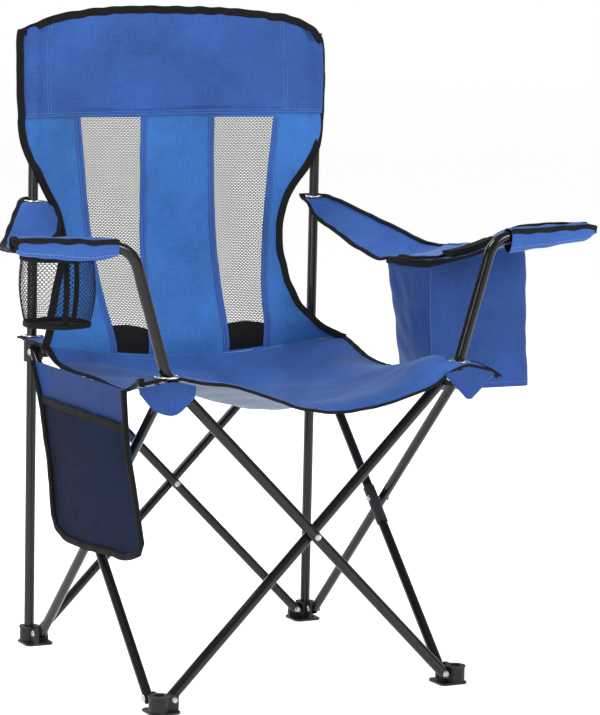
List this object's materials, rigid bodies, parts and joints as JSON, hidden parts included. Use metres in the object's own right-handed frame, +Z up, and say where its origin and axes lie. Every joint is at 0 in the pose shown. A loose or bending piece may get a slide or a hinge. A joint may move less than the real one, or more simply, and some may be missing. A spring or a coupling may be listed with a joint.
{
  "type": "folding camp chair",
  "caption": "Folding quad camp chair with a tall back, mesh strips, slung armrests, cooler pouch, mesh cup holder and side pocket.",
  "frame": {"origin": "on the ground, under the middle of the four feet", "axes": "+Z up; the seat faces -Y, so the sitter's left, where the cooler hangs, is +X"},
  "size_m": [0.8848, 0.4992, 0.926],
  "materials": {
    "black_tube": "gloss",
    "black_plastic": "satin",
    "bracket_plastic": "satin",
    "rivet_steel": "satin",
    "grommet_metal": "polished",
    "blue_fabric": "woven",
    "black_mesh": "open mesh",
    "black_binding": "woven tape"
  },
  "bodies": {
    "rear_right_leg": {"rear_right_foot": "black_plastic", "rear_right_foot_rivets": "rivet_steel", "rear_right_upright": "black_tube", "rear_right_upright_cap": "black_plastic", "back_panel": "blue_fabric", "back_mesh_left": "black_mesh", "back_mesh_right": "black_mesh", "back_header": "blue_fabric", "right_arm_grommet": "grommet_metal"},
    "right_inner_tube": {"right_tube_inner": "black_tube", "right_tube_spacer": "black_plastic", "right_crossing_rivet": "rivet_steel"},
    "right_outer_tube": {"right_tube_outer": "black_tube"},
    "front_right_hub": {"front_right_hub": "bracket_plastic", "front_right_hub_rivets": "rivet_steel"},
    "front_right_foot": {"front_right_foot": "black_plastic", "front_right_foot_rivets": "rivet_steel"},
    "rear_right_collar": {"rear_right_collar": "bracket_plastic", "rear_right_collar_rivets": "rivet_steel", "rear_right_seat_patch": "blue_fabric", "rear_right_seat_grommet": "grommet_metal", "side_pocket": "blue_fabric"},
    "rear_outer_tube": {"rear_tube_outer": "black_tube"},
    "rear_inner_tube": {"rear_tube_inner": "black_tube", "rear_crossing_rivet": "rivet_steel"},
    "rear_left_leg": {"rear_left_foot": "black_plastic", "rear_left_foot_rivets": "rivet_steel", "rear_left_upright": "black_tube", "rear_left_upright_cap": "black_plastic", "left_arm_grommet": "grommet_metal"},
    "rear_left_collar": {"rear_left_collar": "bracket_plastic", "rear_left_collar_rivets": "rivet_steel", "rear_left_seat_patch": "blue_fabric", "rear_left_seat_grommet": "grommet_metal"},
    "front_inner_tube": {"front_tube_inner": "black_tube", "front_crossing_rivet": "rivet_steel", "left_arm_bar_cap": "black_plastic", "left_armrest": "blue_fabric", "cooler_pouch": "blue_fabric", "front_left_seat_patch": "blue_fabric", "front_left_seat_grommet": "grommet_metal"},
    "front_outer_tube": {"front_tube_outer": "black_tube", "right_arm_bar_cap": "black_plastic", "right_armrest": "blue_fabric", "cup_holder_rim": "black_binding", "cup_holder_mesh": "black_mesh", "cup_holder_base": "black_binding", "front_right_seat_patch": "blue_fabric", "front_right_seat_grommet": "grommet_metal"},
    "front_left_foot": {"front_left_foot": "black_plastic", "front_left_foot_rivets": "rivet_steel"},
    "front_left_hub": {"front_left_hub": "bracket_plastic", "front_left_hub_rivets": "rivet_steel"},
    "left_outer_tube": {"left_tube_outer": "black_tube"},
    "left_inner_tube": {"left_tube_inner": "black_tube", "left_tube_spacer": "black_plastic", "left_crossing_rivet": "rivet_steel"},
    "seat_front_half": {"seat_front": "blue_fabric"},
    "seat_rear_half": {"seat_rear": "blue_fabric"},
    "cooler_lid": {"cooler_lid": "blue_fabric"}
  },
  "joints": [
    {"name": "fold", "type": "hinge", "parent": "rear_right_leg", "child": "right_inner_tube", "pos_m": [-0.2158, 0.2053, 0.017], "axis": [-1, 0, 0], "range_deg": [0, 37.5], "deforming": ["back_panel", "back_mesh_left", "back_mesh_right", "back_header", "seat_front", "seat_rear", "left_armrest", "right_armrest", "cooler_pouch", "cup_holder_rim", "cup_holder_mesh", "cup_holder_base", "side_pocket", "front_left_seat_patch", "front_right_seat_patch", "rear_left_seat_patch", "rear_right_seat_patch", "cooler_lid"]},
    {"name": "front_right_hub_pivot", "type": "hinge", "parent": "right_inner_tube", "child": "front_right_hub", "pos_m": [-0.2158, -0.2053, 0.431], "axis": [1, 0, 0], "range_deg": [0, 37.5]},
    {"name": "right_crossing_pivot", "type": "hinge", "parent": "right_inner_tube", "child": "right_outer_tube", "pos_m": [-0.2241, 0, 0.224], "axis": [1, 0, 0], "range_deg": [0, 75]},
    {"name": "front_right_foot_pivot", "type": "hinge", "parent": "right_outer_tube", "child": "front_right_foot", "pos_m": [-0.2324, -0.2053, 0.017], "axis": [-1, 0, 0], "range_deg": [0, 37.5]},
    {"name": "rear_right_collar_pivot", "type": "hinge", "parent": "right_outer_tube", "child": "rear_right_collar", "pos_m": [-0.2324, 0.2053, 0.431], "axis": [-1, 0, 0], "range_deg": [0, 37.5]},
    {"name": "rear_right_foot_rear_pivot", "type": "hinge", "parent": "rear_right_leg", "child": "rear_outer_tube", "pos_m": [-0.2053, 0.2324, 0.017], "axis": [0, -1, 0], "range_deg": [0, 37.5]},
    {"name": "rear_crossing_pivot", "type": "hinge", "parent": "rear_outer_tube", "child": "rear_inner_tube", "pos_m": [0, 0.2241, 0.224], "axis": [0, 1, 0], "range_deg": [0, 75]},
    {"name": "rear_left_foot_pivot", "type": "hinge", "parent": "rear_inner_tube", "child": "rear_left_leg", "pos_m": [0.2053, 0.2158, 0.017], "axis": [0, -1, 0], "range_deg": [0, 37.5]},
    {"name": "rear_left_collar_pivot", "type": "hinge", "parent": "rear_outer_tube", "child": "rear_left_collar", "pos_m": [0.2053, 0.2324, 0.431], "axis": [0, 1, 0], "range_deg": [0, 37.5]},
    {"name": "front_right_foot_front_pivot", "type": "hinge", "parent": "front_right_foot", "child": "front_inner_tube", "pos_m": [-0.2053, -0.2158, 0.017], "axis": [0, -1, 0], "range_deg": [0, 37.5]},
    {"name": "front_crossing_pivot", "type": "hinge", "parent": "front_inner_tube", "child": "front_outer_tube", "pos_m": [0, -0.2241, 0.224], "axis": [0, 1, 0], "range_deg": [0, 75]},
    {"name": "front_left_foot_pivot", "type": "hinge", "parent": "front_outer_tube", "child": "front_left_foot", "pos_m": [0.2053, -0.2324, 0.017], "axis": [0, -1, 0], "range_deg": [0, 37.5]},
    {"name": "front_left_hub_pivot", "type": "hinge", "parent": "front_inner_tube", "child": "front_left_hub", "pos_m": [0.2053, -0.2158, 0.431], "axis": [0, 1, 0], "range_deg": [0, 37.5]},
    {"name": "rear_left_foot_side_pivot", "type": "hinge", "parent": "rear_left_leg", "child": "left_outer_tube", "pos_m": [0.2324, 0.2053, 0.017], "axis": [-1, 0, 0], "range_deg": [0, 37.5]},
    {"name": "left_crossing_pivot", "type": "hinge", "parent": "left_outer_tube", "child": "left_inner_tube", "pos_m": [0.2241, 0, 0.224], "axis": [1, 0, 0], "range_deg": [0, 75]},
    {"name": "seat_front_hinge", "type": "hinge", "parent": "front_right_hub", "child": "seat_front_half", "pos_m": [-0.2158, -0.2053, 0.431], "axis": [-1, 0, 0], "range_deg": [0, 79.71]},
    {"name": "seat_rear_hinge", "type": "hinge", "parent": "rear_right_collar", "child": "seat_rear_half", "pos_m": [-0.2324, 0.2053, 0.431], "axis": [1, 0, 0], "range_deg": [0, 79.71]},
    {"name": "cooler_lid_hinge", "type": "hinge", "parent": "front_inner_tube", "child": "cooler_lid", "pos_m": [0.315, 0.007, 0.5775], "axis": [-1, 0, 0], "range_deg": [0, 110]}
  ],
  "couplings": [
    {"joint": "front_right_hub_pivot", "follows": "fold", "ratio": 1},
    {"joint": "right_crossing_pivot", "follows": "fold", "ratio": 2},
    {"joint": "front_right_foot_pivot", "follows": "fold", "ratio": 1},
    {"joint": "rear_right_collar_pivot", "follows": "fold", "ratio": 1},
    {"joint": "rear_right_foot_rear_pivot", "follows": "fold", "ratio": 1},
    {"joint": "rear_crossing_pivot", "follows": "fold", "ratio": 2},
    {"joint": "rear_left_foot_pivot", "follows": "fold", "ratio": 1},
    {"joint": "rear_left_collar_pivot", "follows": "fold", "ratio": 1},
    {"joint": "front_right_foot_front_pivot", "follows": "fold", "ratio": 1},
    {"joint": "front_crossing_pivot", "follows": "fold", "ratio": 2},
    {"joint": "front_left_foot_pivot", "follows": "fold", "ratio": 1},
    {"joint": "front_left_hub_pivot", "follows": "fold", "ratio": 1},
    {"joint": "rear_left_foot_side_pivot", "follows": "fold", "ratio": 1},
    {"joint": "left_crossing_pivot", "follows": "fold", "ratio": 2},
    {"joint": "seat_front_hinge", "follows": "fold", "ratio": 2.1242},
    {"joint": "seat_rear_hinge", "follows": "fold", "ratio": 2.1242}
  ]
}
